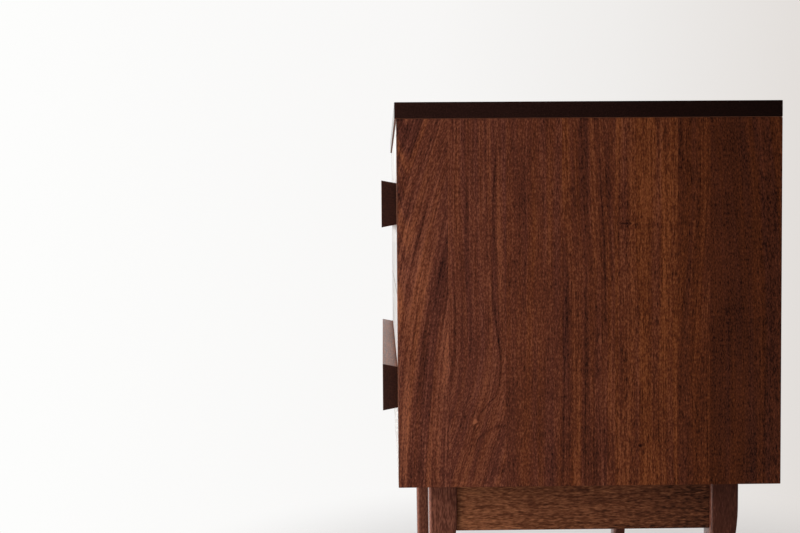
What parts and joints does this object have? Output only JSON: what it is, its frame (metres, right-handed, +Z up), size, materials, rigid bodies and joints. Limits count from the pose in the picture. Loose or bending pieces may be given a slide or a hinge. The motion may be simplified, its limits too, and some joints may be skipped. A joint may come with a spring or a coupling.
{
  "type": "nightstand",
  "caption": "Nightstand: walnut case with a dark top, white drawers with full-width walnut bar pulls on ball-bearing slides, and a raised base with tapered legs.",
  "frame": {"origin": "on the floor, under the middle of the whole box with the pulls", "axes": "+X to the right in a front view; -Y out of the drawer fronts; +Z up"},
  "size_m": [0.61, 0.421, 0.635],
  "materials": {
    "walnut_panel": "oiled walnut, edge-glued boards with the grain upright",
    "walnut_rail": "oiled walnut, grain along the rail",
    "walnut_base": "oiled solid walnut",
    "ebonised_wood": "ebonised wood with a satin coat",
    "walnut_pull": "oiled walnut, grain along the bar, dark end grain",
    "white_lacquer": "satin white lacquer over board",
    "maple": "clear-coated maple",
    "slide_steel": "zinc-plated steel",
    "screw_zinc": "zinc-plated steel",
    "bumper_rubber": "soft matt rubber",
    "glide_nylon": "matt moulded nylon"
  },
  "bodies": {
    "case": {"top_slab": "ebonised_wood", "side_panel_left": "walnut_panel", "side_panel_right": "walnut_panel", "bottom_panel": "walnut_panel", "back_panel": "walnut_panel", "top_rail_front": "walnut_rail", "top_rail_rear": "walnut_rail", "divider_rail": "walnut_rail", "case_dowels": "maple", "upper_case_slides": "slide_steel", "lower_case_slides": "slide_steel", "case_slide_screws": "screw_zinc", "drawer_bumpers": "bumper_rubber", "slab_screws": "screw_zinc", "back_screws": "screw_zinc", "leg_front_left": "walnut_base", "leg_front_right": "walnut_base", "leg_rear_left": "walnut_base", "leg_rear_right": "walnut_base", "apron_front": "walnut_base", "apron_rear": "walnut_base", "apron_left": "walnut_base", "apron_right": "walnut_base", "corner_blocks": "maple", "base_screws": "screw_zinc", "leg_glides": "glide_nylon"},
    "upper_slide": {"upper_mid_slides": "slide_steel", "upper_ball_cages": "slide_steel"},
    "upper_drawer": {"upper_front": "white_lacquer", "upper_pull": "walnut_pull", "upper_box_left": "maple", "upper_box_right": "maple", "upper_box_front": "maple", "upper_box_back": "maple", "upper_box_bottom": "maple", "upper_drawer_slides": "slide_steel", "upper_slide_screws": "screw_zinc", "upper_front_screws": "screw_zinc", "upper_pull_screws": "screw_zinc"},
    "lower_slide": {"lower_mid_slides": "slide_steel", "lower_ball_cages": "slide_steel"},
    "lower_drawer": {"lower_front": "white_lacquer", "lower_pull": "walnut_pull", "lower_box_left": "maple", "lower_box_right": "maple", "lower_box_front": "maple", "lower_box_back": "maple", "lower_box_bottom": "maple", "lower_drawer_slides": "slide_steel", "lower_slide_screws": "screw_zinc", "lower_front_screws": "screw_zinc", "lower_pull_screws": "screw_zinc"}
  },
  "joints": [
    {"name": "upper_drawer_travel", "type": "slide", "parent": "case", "child": "upper_drawer", "axis": [0, -1, 0], "range_m": [0, 0.33]},
    {"name": "upper_slide_travel", "type": "slide", "parent": "case", "child": "upper_slide", "axis": [0, -1, 0], "range_m": [0, 0.165]},
    {"name": "lower_drawer_travel", "type": "slide", "parent": "case", "child": "lower_drawer", "axis": [0, -1, 0], "range_m": [0, 0.33]},
    {"name": "lower_slide_travel", "type": "slide", "parent": "case", "child": "lower_slide", "axis": [0, -1, 0], "range_m": [0, 0.165]}
  ],
  "couplings": [
    {"joint": "upper_slide_travel", "follows": "upper_drawer_travel", "ratio": 0.5},
    {"joint": "lower_slide_travel", "follows": "lower_drawer_travel", "ratio": 0.5}
  ]
}
